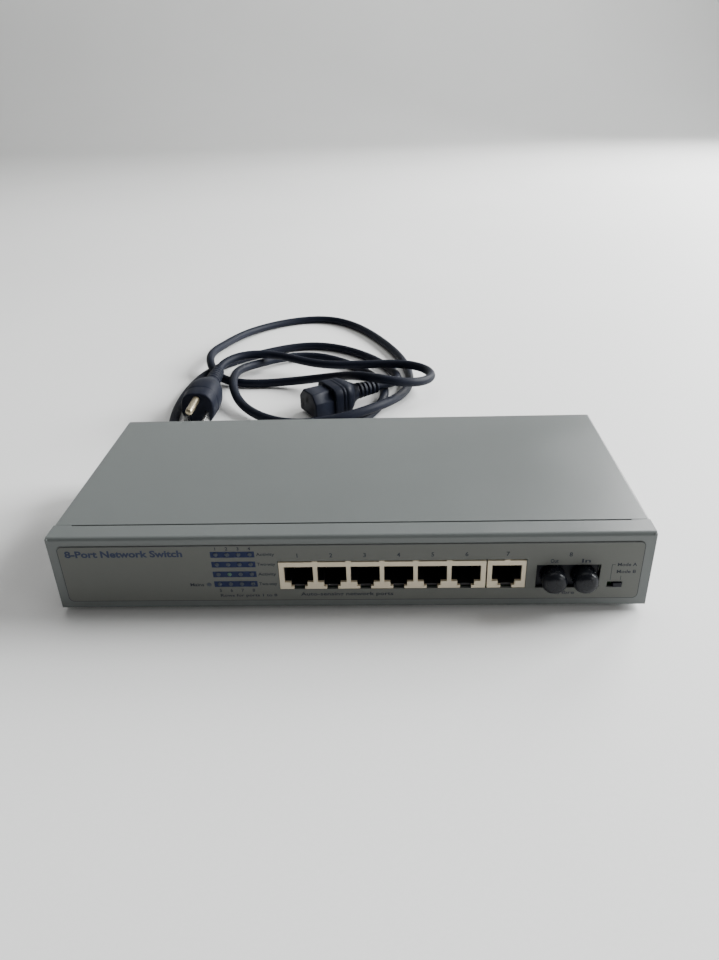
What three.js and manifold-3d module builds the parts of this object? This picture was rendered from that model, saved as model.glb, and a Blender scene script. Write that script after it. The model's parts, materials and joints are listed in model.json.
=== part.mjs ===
// Eight-port desktop network switch in a steel case, with a detached mains cord lying behind it.
// Millimetres. X to the right along the front panel, Y towards the rear panel, Z up.
// The origin is on the table, under the middle of the case and of what stands proud of it.

import * as THREE from 'three';
import { mergeVertices } from 'three/addons/utils/BufferGeometryUtils.js';
import Module from 'manifold-3d';

// ---------------------------------------------------------------- driving dimensions

const CASE_W = 250;
const CASE_D = 117;
const CASE_H = 35.6;
const FOOT_H = 2.5;
const SHEET = 1.0; // steel sheet of both case halves
const GAP = 0.3; // clearance between pieces that meet
const BEND_R = 1.8; // outer radius of the fold between the front panel and the top strip
const COVER_BEND_R = 1.2; // outer radius of the cover's folds
const STRIP_D = 10.1; // depth of the base's top strip, in front of the cover
const CAP_OUT = 7.6; // dust caps stand this far out of the front panel
const INLET_FLANGE = 1.4;
const INLET_SCREW_HEAD = 1.6;

const BOTTOM = FOOT_H;
const TOP = FOOT_H + CASE_H;
const HALF_W = CASE_W / 2;
const REAR_OUT = INLET_FLANGE + INLET_SCREW_HEAD;
const FRONT = (CAP_OUT - CASE_D - REAR_OUT) / 2; // y of the front panel's outer face
const REAR = FRONT + CASE_D; // y of the rear panel's outer face
const SEAM = FRONT + STRIP_D;
const LIP_D = 6; // the base's lip under the cover's front edge
const COVER_FRONT = SEAM + 0.5;
const GROOVE = { half: 117.3, closed: 0.15 }; // the open seam's half length, and the gap beyond it
const FLANGE_H = 11; // the base's upturned side flanges, which the cover screws into

// circuit boards
const PCB = 1.6;
const BOARD_TOP = 11.7;
const BOARD = { left: -62, right: 119, front: FRONT + 3, back: FRONT + 100 };
const SUPPLY = { left: -119, right: -66, front: FRONT + 22, back: FRONT + 96 };
const STANDOFF_R = 3.2;
const SCREW_R = 1.3;

// network sockets: six ganged ones and a single one
const PORT_PITCH = 13.97;
const FIRST_PORT = -20.6;
const LAST_PORT = 66.0;
const JACK = { bottom: 11.9, top: 25.4, depth: 21, front: FRONT - 0.4 };
const PORT = { width: 12.15, bottom: 15.3, top: 23.1, depth: 15 };
const LATCH = { width: 7.0, bottom: 13.2 };
const KEY_SLOT = { width: 4.6, depth: 1.6 };
const BANK = { left: -28.8, right: 57.4 };
const SINGLE = { left: 58.0, right: 73.8 };
const JACK_CUT = { left: -29.0, right: 74.0, bottom: 11.7, top: 26.1 };
const CONTACTS = 8;
const CONTACT_PITCH = 1.02;
const WIRE = 0.5;

// fibre uplink
const FIBRE_CUT = { left: 78.15, right: 104.3, bottom: 11.6, top: 23.1 };
const FIBRE_X = [84.95, 97.65];
const FIBRE_Z = 17.4;
const BARREL_R = 3.2;
const BARREL_BORE = 1.3;
const BARREL_OUT = 5.9;
const LUG_REACH = 3.8;
const CAP_R = 5.2;
const CAP_BORE = 4.05;
const NOSE = FRONT + 1.6; // front of the transceiver's body

// mode switch
const SLOT_CUT = { left: 107.6, right: 113.8, bottom: 11.8, top: 14.5 };
const KNOB = { left: 109.9, right: 113.6, out: 1.1 };

// indicator lights: four rows of four, and one for power
const LIGHT_ROWS = 4;
const LIGHT_COLUMNS = 4;
const LIGHT = { left: -54.4, pitchX: 4.72, low: 14.7, pitchZ: 4.98, r: 0.95 };
const POWER_LIGHT = { x: -59.0, z: 14.5 };

// front label
const LABEL = { halfWidth: 121, bottom: 5.9, top: 34.1, corner: 2.3, thick: 0.3 };

// mains inlet in the rear panel
const INLET = { x: -92, z: 20.3, width: 27.4, height: 19.6, depth: 19 };
const RECESS = { width: 24.6, height: 16.8, depth: 15.5, corner: 5 };
const INLET_SCREW_X = 20;
const PIN = { thick: 2, tall: 4, side: 7, line: -2, earth: 2 };

// cord set
const CORD_R = 3.1;
const CORD_SIDES = 8;
const CORD_STEPS = 84;
const PLUG = { end: [-107.5, 208], heading: [0, 1], width: 24, height: 24, body: 42, relief: 28 };
const CONNECTOR = {
  end: [9.7, 178.3], heading: [0.848, 0.53], width: 27, height: 20, body: 34, relief: 20,
};
const PLUG_CORD_Z = PLUG.height / 2;
const CONNECTOR_CORD_Z = CONNECTOR.height / 2;

// Route of the cord from the connector to the plug: the middle of the cord, as the guide points of
// a cubic B-spline.
const CORD_ROUTE = [
  [9.7, 178.3, 10], [18.2, 183.6, 10], [26, 196, 7], [22.5, 226, 3.2], [0, 266, 3.2],
  [-45, 300, 3.2], [-98, 264, 3.2], [-128.5, 226, 3.2], [-129, 132, 3.2], [-104, 84, 3.2],
  [-14, 102, 3.2], [22, 173, 3.2], [8, 222, 3.2], [-44, 278, 3.2], [-89, 236, 6],
  [-98, 203, 13], [-86, 156, 3.2], [-38, 113, 6.5], [14, 136, 13], [33, 184, 3.2],
  [35, 229, 3.2], [19, 289, 3.2], [-30, 384, 3.2], [-104, 342, 3.2], [-118, 278, 8],
  [-123, 240, 14], [-111, 213, 3.8], [-86, 203, 3.2], [-52, 207, 3.4], [-13, 187, 15.5],
  [4, 164.5, 23], [33.5, 159.5, 17.5], [54.5, 189, 12], [36, 222.5, 12.5], [-28, 219, 9],
  [-58, 237, 12], [-80, 243.5, 13.2], [-98.5, 237.5, 13.5], [-107.1, 221, 13], [-107.5, 208, 12],
];

// ---------------------------------------------------------------- materials

function finish(color, roughness, metalness) {
  return () => new THREE.MeshStandardMaterial({ color, roughness, metalness });
}

const paintedSteel = finish(0x8b9192, 0.55, 0.35);
const paintedCover = finish(0x868c8d, 0.55, 0.35);
const labelFilm = finish(0x8b8a80, 0.6, 0.0);
const board = finish(0x1f5a35, 0.5, 0.1);
const creamPlastic = finish(0xd9ccb0, 0.5, 0.0);
const blackPlastic = finish(0x17181a, 0.5, 0.0);
const gold = finish(0xd8a93a, 0.3, 1.0);
const nickel = finish(0xc4c4c0, 0.3, 1.0);
const capRubber = finish(0x2c2f31, 0.75, 0.0);
const clearPlastic = finish(0xb7bdb4, 0.2, 0.0);
const aluminium = finish(0xb0b3b5, 0.4, 0.9);
const epoxy = finish(0x1b1c1e, 0.6, 0.0);
const sleeve = finish(0x26334a, 0.4, 0.1);
const tape = finish(0xb9a24a, 0.5, 0.0);
const glass = finish(0xcfd6d4, 0.1, 0.0);
const footRubber = finish(0x1c1c1d, 0.85, 0.0);
const cordJacket = finish(0x17181c, 0.6, 0.0);
const brass = finish(0xb39a63, 0.35, 0.9);

// ---------------------------------------------------------------- solids

const wasm = await Module();
wasm.setup();

function solidOf(geometry) {
  const bare = geometry.index ? geometry.toNonIndexed() : geometry.clone();
  for (const name of Object.keys(bare.attributes)) {
    if (name !== 'position') bare.deleteAttribute(name);
  }
  const merged = mergeVertices(bare, 1e-4);
  const mesh = new wasm.Mesh({
    numProp: 3,
    vertProperties: Float32Array.from(merged.attributes.position.array),
    triVerts: Uint32Array.from(merged.index.array),
  });
  return new wasm.Manifold(mesh);
}

function geometryOf(solid) {
  const mesh = solid.getMesh();
  const geometry = new THREE.BufferGeometry();
  geometry.setAttribute('position', new THREE.BufferAttribute(mesh.vertProperties, 3));
  geometry.setIndex(new THREE.BufferAttribute(mesh.triVerts, 1));
  geometry.computeVertexNormals();
  return geometry;
}

function shaped(base, added = [], cut = []) {
  let solid = solidOf(base);
  for (const piece of added) solid = solid.add(solidOf(piece));
  for (const piece of cut) solid = solid.subtract(solidOf(piece));
  return geometryOf(solid);
}

function block(x, y, z) {
  const geometry = new THREE.BoxGeometry(x[1] - x[0], y[1] - y[0], z[1] - z[0]);
  return geometry.translate((x[0] + x[1]) / 2, (y[0] + y[1]) / 2, (z[0] + z[1]) / 2);
}

// A cylinder or cone from one point to another, with its radius at each.
function rod(from, to, radius, endRadius = radius, sides = 12) {
  const a = new THREE.Vector3(...from);
  const b = new THREE.Vector3(...to);
  const axis = b.clone().sub(a);
  const geometry = new THREE.CylinderGeometry(endRadius, radius, axis.length(), sides);
  const turn = new THREE.Quaternion().setFromUnitVectors(new THREE.Vector3(0, 1, 0), axis.normalize());
  return geometry.applyQuaternion(turn).translate(...a.add(b).multiplyScalar(0.5).toArray());
}

function outline(points) {
  return new THREE.Shape(points.map(([u, v]) => new THREE.Vector2(u, v)));
}

function roundedOutline(left, right, bottom, top, radius) {
  const shape = new THREE.Shape();
  shape.moveTo(left + radius, bottom);
  shape.absarc(right - radius, bottom + radius, radius, -Math.PI / 2, 0);
  shape.absarc(right - radius, top - radius, radius, 0, Math.PI / 2);
  shape.absarc(left + radius, top - radius, radius, Math.PI / 2, Math.PI);
  shape.absarc(left + radius, bottom + radius, radius, Math.PI, 1.5 * Math.PI);
  return shape;
}

// A shape drawn in X and Z, extruded along Y.
function alongY(shape, y0, y1, curveSegments = 4) {
  const geometry = new THREE.ExtrudeGeometry(shape, { depth: y1 - y0, bevelEnabled: false, curveSegments });
  return geometry.rotateX(Math.PI / 2).translate(0, y1, 0);
}

// A shape drawn in Y and Z, extruded along X.
function alongX(shape, x0, x1, curveSegments = 4) {
  const geometry = new THREE.ExtrudeGeometry(shape, { depth: x1 - x0, bevelEnabled: false, curveSegments });
  return geometry.rotateX(Math.PI / 2).rotateZ(Math.PI / 2).translate(x0, 0, 0);
}

// A profile of [radius, distance] points, turned about the Y axis through x and z.
function turnedAlongY(profile, x, z, sides = 24) {
  const points = profile.map(([r, y]) => new THREE.Vector2(r, y));
  return new THREE.LatheGeometry(points, sides).translate(x, 0, z);
}

const part = new THREE.Group();

function add(name, geometry, material, parent = part) {
  const mesh = new THREE.Mesh(geometry, material());
  mesh.name = name;
  parent.add(mesh);
  return mesh;
}

function forBothSides(make) {
  for (const [side, sign] of [['left', -1], ['right', 1]]) make(side, sign);
}

// ---------------------------------------------------------------- case

const STANDOFFS = [
  ['front_left', BOARD.left + 5, FRONT + 30],
  ['front_right', BOARD.right - 5, FRONT + 30],
  ['back_left', BOARD.left + 5, BOARD.back - 5],
  ['back_right', BOARD.right - 5, BOARD.back - 5],
];
const COVER_SCREW_Y = [FRONT + 26, REAR - 14];
const COVER_SCREW_Z = BOTTOM + 6.5;
const LIGHT_SPOTS = [[POWER_LIGHT.x, POWER_LIGHT.z]];
for (let row = 0; row < LIGHT_ROWS; row += 1) {
  for (let column = 0; column < LIGHT_COLUMNS; column += 1) {
    LIGHT_SPOTS.push([LIGHT.left + column * LIGHT.pitchX, LIGHT.low + row * LIGHT.pitchZ]);
  }
}

function panelHole(cut, y0, y1, grow = 0) {
  return block([cut.left - grow, cut.right + grow], [y0, y1], [cut.bottom - grow, cut.top + grow]);
}

// Front panel and top strip folded from one sheet, in Y and Z.
function frontFold() {
  const shape = new THREE.Shape();
  shape.moveTo(FRONT, BOTTOM);
  shape.lineTo(FRONT + SHEET, BOTTOM);
  shape.lineTo(FRONT + SHEET, TOP - BEND_R);
  shape.absarc(FRONT + BEND_R, TOP - BEND_R, BEND_R - SHEET, Math.PI, Math.PI / 2, true);
  shape.lineTo(SEAM - GAP, TOP - SHEET);
  shape.lineTo(SEAM - GAP, TOP);
  shape.lineTo(FRONT + BEND_R, TOP);
  shape.absarc(FRONT + BEND_R, TOP - BEND_R, BEND_R, Math.PI / 2, Math.PI);
  return shape;
}

function baseChassis() {
  const inner = HALF_W - SHEET - GAP;
  const front = [FRONT, SEAM - GAP];
  const added = [
    block([-HALF_W, HALF_W], front, [BOTTOM, BOTTOM + SHEET]),
    block([-inner, inner], [FRONT, REAR], [BOTTOM, BOTTOM + SHEET]),
    block([-inner, inner], [REAR - SHEET, REAR], [BOTTOM, TOP - SHEET - GAP]),
    block([-inner + 4, inner - 4], [SEAM - 2, SEAM - GAP], [TOP - 2 * SHEET - GAP, TOP - SHEET / 2]),
    block([-inner + 4, inner - 4], [SEAM - 2, SEAM + LIP_D], [TOP - 2 * SHEET - GAP, TOP - SHEET - GAP]),
  ];
  forBothSides((side, sign) => {
    const skin = [sign * HALF_W, sign * (HALF_W - SHEET)].sort((a, b) => a - b);
    const tab = [sign * inner, sign * (inner - SHEET)].sort((a, b) => a - b);
    const joggle = [sign * HALF_W, sign * (inner - SHEET)].sort((a, b) => a - b);
    added.push(block(skin, front, [BOTTOM, TOP - SHEET / 2]));
    added.push(block(joggle, [SEAM - 2, SEAM - GAP], [BOTTOM, TOP - SHEET / 2]));
    const ear = [sign * GROOVE.half, sign * HALF_W].sort((a, b) => a - b);
    added.push(block(ear, [SEAM - 2, COVER_FRONT - GROOVE.closed], [TOP - SHEET, TOP]));
    added.push(block(tab, [SEAM - 2, SEAM + LIP_D], [BOTTOM, TOP - SHEET - GAP]));
    added.push(block(tab, [FRONT, REAR], [BOTTOM, BOTTOM + FLANGE_H]));
  });
  for (const [, x, y] of STANDOFFS) {
    added.push(rod([x, y, BOTTOM], [x, y, BOARD_TOP - PCB - GAP], STANDOFF_R));
  }
  const through = [FRONT - 1, FRONT + 3];
  const cut = [
    panelHole(JACK_CUT, ...through),
    panelHole(FIBRE_CUT, ...through),
    panelHole(SLOT_CUT, ...through),
    block([INLET.x - INLET.width / 2 - GAP, INLET.x + INLET.width / 2 + GAP], [REAR - 3, REAR + 1],
      [INLET.z - INLET.height / 2 - GAP, INLET.z + INLET.height / 2 + GAP]),
  ];
  for (const [x, z] of LIGHT_SPOTS) {
    cut.push(rod([x, through[0], z], [x, through[1], z], LIGHT.r + 0.15, undefined, 8));
  }
  for (const [, x, y] of STANDOFFS) {
    cut.push(rod([x, y, BOTTOM + SHEET + 0.5], [x, y, BOARD_TOP], SCREW_R + GAP));
  }
  for (const side of [-1, 1]) {
    const x = INLET.x + side * INLET_SCREW_X;
    cut.push(rod([x, REAR - 3, INLET.z], [x, REAR + 1, INLET.z], SCREW_R + GAP));
    for (const y of COVER_SCREW_Y) {
      const at = (x) => [side * x, y, COVER_SCREW_Z];
      cut.push(rod(at(inner - 3), at(HALF_W), SCREW_R + GAP));
    }
  }
  return shaped(alongX(frontFold(), -HALF_W, HALF_W), added, cut);
}

const VENTS = {
  count: 14, pitch: 4.6, width: 2.2, first: FRONT + 36, bottom: BOTTOM + 14, top: BOTTOM + 29,
};

function topCover() {
  const x = HALF_W;
  const r = COVER_BEND_R;
  const shape = new THREE.Shape();
  shape.moveTo(-x, BOTTOM);
  shape.lineTo(-x + SHEET, BOTTOM);
  shape.lineTo(-x + SHEET, TOP - r);
  shape.absarc(-x + r, TOP - r, r - SHEET, Math.PI, Math.PI / 2, true);
  shape.absarc(x - r, TOP - r, r - SHEET, Math.PI / 2, 0, true);
  shape.lineTo(x - SHEET, BOTTOM);
  shape.lineTo(x, BOTTOM);
  shape.absarc(x - r, TOP - r, r, 0, Math.PI / 2);
  shape.absarc(-x + r, TOP - r, r, Math.PI / 2, Math.PI);
  const cut = [];
  for (const side of [-1, 1]) {
    const wall = [side * (HALF_W - 3), side * (HALF_W + 3)].sort((a, b) => a - b);
    for (let i = 0; i < VENTS.count; i += 1) {
      const y = VENTS.first + i * VENTS.pitch;
      cut.push(block(wall, [y, y + VENTS.width], [VENTS.bottom, VENTS.top]));
    }
    for (const y of COVER_SCREW_Y) {
      cut.push(rod([wall[0], y, COVER_SCREW_Z], [wall[1], y, COVER_SCREW_Z], SCREW_R + GAP));
    }
  }
  return shaped(alongY(shape, COVER_FRONT, REAR), [], cut);
}

function frontLabel() {
  const shape = roundedOutline(-LABEL.halfWidth, LABEL.halfWidth, LABEL.bottom, LABEL.top, LABEL.corner);
  const through = [FRONT - 2, FRONT + 1];
  const back = FRONT - 0.05;
  return shaped(alongY(shape, back - LABEL.thick, back), [], [
    panelHole(JACK_CUT, ...through),
    panelHole(FIBRE_CUT, ...through),
    panelHole(SLOT_CUT, ...through),
  ]);
}

function foot(x, y) {
  return rod([x, y, 0], [x, y, FOOT_H - 0.1], 5.2, 6, 20);
}

function screw(head, seat, tip, headRadius, shankRadius) {
  return shaped(rod(head, seat, headRadius * 0.85, headRadius), [rod(head, tip, shankRadius)]);
}

add('base_chassis', baseChassis(), paintedSteel);
add('top_cover', topCover(), paintedCover);
add('front_label', frontLabel(), labelFilm);
forBothSides((side, sign) => {
  for (const [end, y] of [['front', FRONT + 16], ['back', REAR - 16]]) {
    add(`foot_${end}_${side}`, foot(sign * (HALF_W - 16), y), footRubber);
  }
  COVER_SCREW_Y.forEach((y, i) => {
    const at = (x) => [sign * x, y, COVER_SCREW_Z];
    const geometry = screw(at(HALF_W + 0.9), at(HALF_W + 0.05), at(HALF_W - 4), 3, SCREW_R);
    add(`cover_screw_${i ? 'back' : 'front'}_${side}`, geometry, nickel);
  });
});

// ---------------------------------------------------------------- boards

function boardScrewHole(x, y) {
  return rod([x, y, BOARD_TOP - 4], [x, y, BOARD_TOP + 2], SCREW_R + GAP);
}

function mainBoard() {
  const plate = block([BOARD.left, BOARD.right], [BOARD.front, BOARD.back], [BOARD_TOP - PCB, BOARD_TOP]);
  return shaped(plate, [], STANDOFFS.map(([, x, y]) => boardScrewHole(x, y)));
}

add('main_board', mainBoard(), board);
for (const [place, x, y] of STANDOFFS) {
  const at = (z) => [x, y, z];
  const geometry = screw(at(BOARD_TOP + 2), at(BOARD_TOP + 0.1), at(BOTTOM + SHEET + 1), 2.9, SCREW_R);
  add(`board_screw_${place}`, geometry, nickel);
}

const CHIP = { x: 14, y: FRONT + 60, half: 14, tall: 3 };

function onBoard(x, y, height, lift = 0.1) {
  return block(x, y, [BOARD_TOP + lift, BOARD_TOP + lift + height]);
}

function chipHeatsink() {
  const half = CHIP.half - 1;
  const low = BOARD_TOP + CHIP.tall + 0.4;
  const base = block([CHIP.x - half, CHIP.x + half], [CHIP.y - half, CHIP.y + half], [low, low + 2]);
  const fins = [];
  for (let i = -3; i <= 3; i += 1) {
    const x = CHIP.x + i * 4;
    fins.push(block([x - 0.6, x + 0.6], [CHIP.y - half, CHIP.y + half], [low + 1, low + 10]));
  }
  return shaped(base, fins);
}

function switchChip() {
  const { x, y, half, tall } = CHIP;
  return onBoard([x - half, x + half], [y - half, y + half], tall);
}

add('switch_chip', switchChip(), epoxy);
add('chip_heatsink', chipHeatsink(), aluminium);
add('magnetics_left', onBoard([-24, 6], [FRONT + 24, FRONT + 37], 6), epoxy);
add('magnetics_right', onBoard([12, 42], [FRONT + 24, FRONT + 37], 6), epoxy);

// ---------------------------------------------------------------- network sockets

function portCut(x) {
  const slot = (half, bottom, top, depth) => block(
    [x - half, x + half], [JACK.front - 1, JACK.front + depth], [bottom, top]);
  return [
    slot(PORT.width / 2, PORT.bottom, PORT.top, PORT.depth),
    slot(LATCH.width / 2, LATCH.bottom, PORT.bottom + 1, PORT.depth - 2),
    slot(KEY_SLOT.width / 2, JACK.bottom - 1, LATCH.bottom + 1, KEY_SLOT.depth),
  ];
}

function jackHousing(ends, ports, ribs) {
  const y = [JACK.front, JACK.front + JACK.depth];
  const body = block([ends.left, ends.right], y, [JACK.bottom, JACK.top]);
  const added = ribs.map((x) => block([x - 1.15, x + 1.15], y, [JACK.top - 1, JACK.top + 0.5]));
  return shaped(body, added, ports.flatMap(portCut));
}

// Eight spring wires in a carrier, sloping up from the back of the socket to its front edge.
function contactComb(x) {
  const back = JACK.front + PORT.depth - GAP;
  const carrier = block([x - 5.6, x + 5.6], [back - 3, back], [20.2, PORT.top - GAP]);
  const slope = outline([
    [back - 2, 20.4], [back - 2, 20.4 + WIRE], [JACK.front + 2.5, 22.7], [JACK.front + 2.5, 22.7 - WIRE],
  ]);
  const wires = [];
  for (let i = 0; i < CONTACTS; i += 1) {
    const wireX = x + (i - (CONTACTS - 1) / 2) * CONTACT_PITCH;
    wires.push(alongX(slope, wireX - WIRE / 2, wireX + WIRE / 2));
  }
  return shaped(carrier, wires);
}

const BANK_PORTS = [0, 1, 2, 3, 4, 5].map((i) => FIRST_PORT + i * PORT_PITCH);
const BANK_RIBS = BANK_PORTS.slice(1).map((x) => x - PORT_PITCH / 2);

add('jack_bank', jackHousing(BANK, BANK_PORTS, BANK_RIBS), creamPlastic);
add('jack_single', jackHousing(SINGLE, [LAST_PORT], [LAST_PORT]), creamPlastic);
[...BANK_PORTS, LAST_PORT].forEach((x, i) => add(`contact_comb_${i + 1}`, contactComb(x), gold));

// ---------------------------------------------------------------- fibre uplink

// A block on the board, with a skirt in front of the board's edge.
function transceiver() {
  const x = [FIBRE_CUT.left + 0.4, FIBRE_CUT.right - 0.4];
  const body = block(x, [NOSE, NOSE + 38], [BOARD_TOP + 0.1, 22.8]);
  const skirt = block(x, [NOSE, BOARD.front - GAP], [BOARD_TOP - PCB, BOARD_TOP + 1]);
  return shaped(body, [skirt]);
}

function fibreBarrel(x) {
  const back = NOSE - GAP;
  const tip = FRONT - BARREL_OUT;
  const tube = turnedAlongY([
    [BARREL_BORE, tip], [BARREL_R - 0.4, tip], [BARREL_R, tip + 0.4], [BARREL_R, back], [BARREL_BORE, back],
    [BARREL_BORE, tip],
  ], x, FIBRE_Z, 16);
  const lug = tip + 2.4;
  const lugs = [-1, 1].map((side) => rod(
    [x + side * (BARREL_R - 0.8), lug, FIBRE_Z], [x + side * LUG_REACH, lug, FIBRE_Z], 0.6, undefined, 6));
  return shaped(tube, lugs);
}

// A cup with a domed end, open towards the panel.
function dustCap(x) {
  const open = NOSE - GAP;
  const tip = FRONT - CAP_OUT;
  const floor = FRONT - BARREL_OUT - 0.35;
  const profile = [[0, tip], [CAP_R * 0.55, tip + 0.25]];
  for (let i = 0; i <= 3; i += 1) {
    const angle = (i / 3) * (Math.PI / 2);
    profile.push([CAP_R - 1.2 + 1.2 * Math.sin(angle), tip + 0.6 + 1.2 - 1.2 * Math.cos(angle)]);
  }
  profile.push([CAP_R, open], [CAP_BORE, open], [CAP_BORE, floor], [0, floor]);
  return turnedAlongY(profile, x, FIBRE_Z, 20);
}

add('fibre_transceiver', transceiver(), blackPlastic);
FIBRE_X.forEach((x, i) => {
  const lane = i ? 'receive' : 'transmit';
  add(`fibre_barrel_${lane}`, fibreBarrel(x), nickel);
  add(`dust_cap_${lane}`, dustCap(x), capRubber);
});

// ---------------------------------------------------------------- mode switch

function modeSwitchBody() {
  const body = block([105, 116.4], [FRONT + 1.6, FRONT + 8], [BOARD_TOP + 0.1, 16.6]);
  const pocket = panelHole(SLOT_CUT, FRONT, FRONT + 5.5, 0.2);
  return shaped(body, [], [pocket]);
}

function modeSwitchSlider() {
  const z = [SLOT_CUT.bottom + 0.3, SLOT_CUT.top - 0.3];
  return block([KNOB.left, KNOB.right], [FRONT - KNOB.out, FRONT + 5], z);
}

add('mode_switch_body', modeSwitchBody(), nickel);
add('mode_switch_slider', modeSwitchSlider(), blackPlastic);

// ---------------------------------------------------------------- indicator lights

function lightPipeRow(z) {
  const last = LIGHT.left + (LIGHT_COLUMNS - 1) * LIGHT.pitchX;
  const carrier = block([LIGHT.left - 1.8, last + 1.8], [FRONT + 5, FRONT + 7.5], [z - 1.1, z + 1.1]);
  const pipes = [];
  for (let column = 0; column < LIGHT_COLUMNS; column += 1) {
    const x = LIGHT.left + column * LIGHT.pitchX;
    pipes.push(rod([x, FRONT + 0.1, z], [x, FRONT + 9, z], LIGHT.r, undefined, 8));
  }
  return shaped(carrier, pipes);
}

for (let row = 0; row < LIGHT_ROWS; row += 1) {
  add(`light_pipe_row_${LIGHT_ROWS - row}`, lightPipeRow(LIGHT.low + row * LIGHT.pitchZ), clearPlastic);
}
const powerLightAt = (y) => [POWER_LIGHT.x, y, POWER_LIGHT.z];
add('light_pipe_power', rod(powerLightAt(FRONT + 0.1), powerLightAt(FRONT + 9), LIGHT.r), clearPlastic);
add('light_board', block([-61.4, -37], [FRONT + 9.4, FRONT + 11], [BOARD_TOP + 0.1, 32.5]), board);

// ---------------------------------------------------------------- power supply

const SUPPLY_TOP = BOARD_TOP - 1;

function onSupply(x, y, height) {
  return block(x, y, [SUPPLY_TOP + 0.1, SUPPLY_TOP + height]);
}

function supplyHeatsink() {
  const y = FRONT + 47;
  const plate = onSupply([-114, -84], [y, y + 2], 20);
  return shaped(plate, [block([-114, -84], [y, y + 9], [SUPPLY_TOP + 18, SUPPLY_TOP + 20])]);
}

// Flat cable from the supply board to the main board, with a plug at each end.
function supplyHarness() {
  const z = BOARD_TOP + 3;
  const y = FRONT + 84;
  const path = new THREE.CatmullRomCurve3([
    new THREE.Vector3(-73, y, z), new THREE.Vector3(-68, y, z + 4.5), new THREE.Vector3(-60, y, z + 6),
    new THREE.Vector3(-52, y, z + 4.5), new THREE.Vector3(-47, y, z),
  ]);
  const section = outline([[-0.8, -4], [0.8, -4], [0.8, 4], [-0.8, 4]]);
  const cable = new THREE.ExtrudeGeometry(section, { steps: 14, extrudePath: path, bevelEnabled: false });
  const ends = [
    block([-76, -70], [y - 5, y + 5], [SUPPLY_TOP + 0.1, z + 1.5]),
    block([-50, -44], [y - 5, y + 5], [BOARD_TOP + 0.1, z + 1.5]),
  ];
  return shaped(ends[0], [cable, ends[1]]);
}

function supplyBoard() {
  return block([SUPPLY.left, SUPPLY.right], [SUPPLY.front, SUPPLY.back], [SUPPLY_TOP - PCB, SUPPLY_TOP]);
}

function supplyCapacitor() {
  const at = (z) => [-78, FRONT + 66, SUPPLY_TOP + z];
  return rod(at(0.1), at(20), 6.3, undefined, 20);
}

function supplyFuse() {
  const at = (y) => [-74, FRONT + y, SUPPLY_TOP + 3];
  return rod(at(30), at(50), 2.6);
}

add('supply_board', supplyBoard(), board);
add('supply_transformer', onSupply([-113, -89], [FRONT + 60, FRONT + 80], 17), tape);
add('supply_capacitor', supplyCapacitor(), sleeve);
add('supply_heatsink', supplyHeatsink(), aluminium);
add('supply_fuse', supplyFuse(), glass);
add('supply_harness', supplyHarness(), nickel);

// ---------------------------------------------------------------- mains inlet

// The socket's outline: a rectangle with its two upper corners cut off.
function cutCornerOutline(x, z, width, height, corner) {
  const w = width / 2;
  const h = height / 2;
  return outline([
    [x - w, z - h], [x + w, z - h], [x + w, z + h - corner], [x + w - corner, z + h],
    [x - w + corner, z + h], [x - w, z + h - corner],
  ]);
}

const PIN_SPOTS = [['line', -PIN.side, PIN.line], ['neutral', PIN.side, PIN.line], ['earth', 0, PIN.earth]];

function pinBlock(x, z, y, grow = 0) {
  return block(
    [INLET.x + x - PIN.thick / 2 - grow, INLET.x + x + PIN.thick / 2 + grow], y,
    [INLET.z + z - PIN.tall / 2 - grow, INLET.z + z + PIN.tall / 2 + grow]);
}

function powerInlet() {
  const shell = block(
    [INLET.x - INLET.width / 2, INLET.x + INLET.width / 2],
    [REAR - INLET.depth, REAR + 0.5],
    [INLET.z - INLET.height / 2, INLET.z + INLET.height / 2]);
  const reach = INLET_SCREW_X + 5;
  const flange = alongY(
    roundedOutline(INLET.x - reach, INLET.x + reach, INLET.z - 11.2, INLET.z + 11.2, 4.5),
    REAR + 0.05, REAR + INLET_FLANGE);
  const recess = alongY(cutCornerOutline(INLET.x, INLET.z, RECESS.width, RECESS.height, RECESS.corner),
    REAR + INLET_FLANGE - RECESS.depth, REAR + 3);
  const cut = [recess, ...PIN_SPOTS.map(([, x, z]) => pinBlock(x, z, [REAR - 25, REAR], GAP))];
  for (const side of [-1, 1]) {
    const x = INLET.x + side * INLET_SCREW_X;
    cut.push(rod([x, REAR - 3, INLET.z], [x, REAR + 3, INLET.z], SCREW_R + GAP));
  }
  return shaped(shell, [flange], cut);
}

add('power_inlet', powerInlet(), blackPlastic);
for (const [pin, x, z] of PIN_SPOTS) {
  const tip = REAR - (pin === 'earth' ? 0.5 : 1.5);
  add(`inlet_pin_${pin}`, pinBlock(x, z, [REAR - INLET.depth - 4, tip]), nickel);
}
forBothSides((side, sign) => {
  const x = INLET.x + sign * INLET_SCREW_X;
  const at = (y) => [x, y, INLET.z];
  const geometry = screw(at(REAR + REAR_OUT), at(REAR + INLET_FLANGE + 0.05), at(REAR - 4), 2.8, SCREW_R);
  add(`inlet_screw_${side}`, geometry, nickel);
});

// ---------------------------------------------------------------- cord set

class BSplineRoute extends THREE.Curve {
  constructor(points) {
    super();
    const ends = [[0, 1], [points.length - 1, points.length - 2]];
    const [before, after] = ends.map(([end, next]) => points[end].map((c, k) => 2 * c - points[next][k]));
    this.guides = [before, ...points, after];
    this.spans = points.length - 1;
  }

  getPoint(u, target = new THREE.Vector3()) {
    const along = Math.min(u * this.spans, this.spans - 1e-9);
    const i = Math.floor(along);
    const t = along - i;
    const weights = [(1 - t) ** 3, 3 * t ** 3 - 6 * t * t + 4, -3 * t ** 3 + 3 * t * t + 3 * t + 1, t ** 3];
    const sum = (k) => weights.reduce((total, w, j) => total + w * this.guides[i + j][k], 0) / 6;
    return target.set(sum(0), sum(1), sum(2));
  }
}

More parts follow.
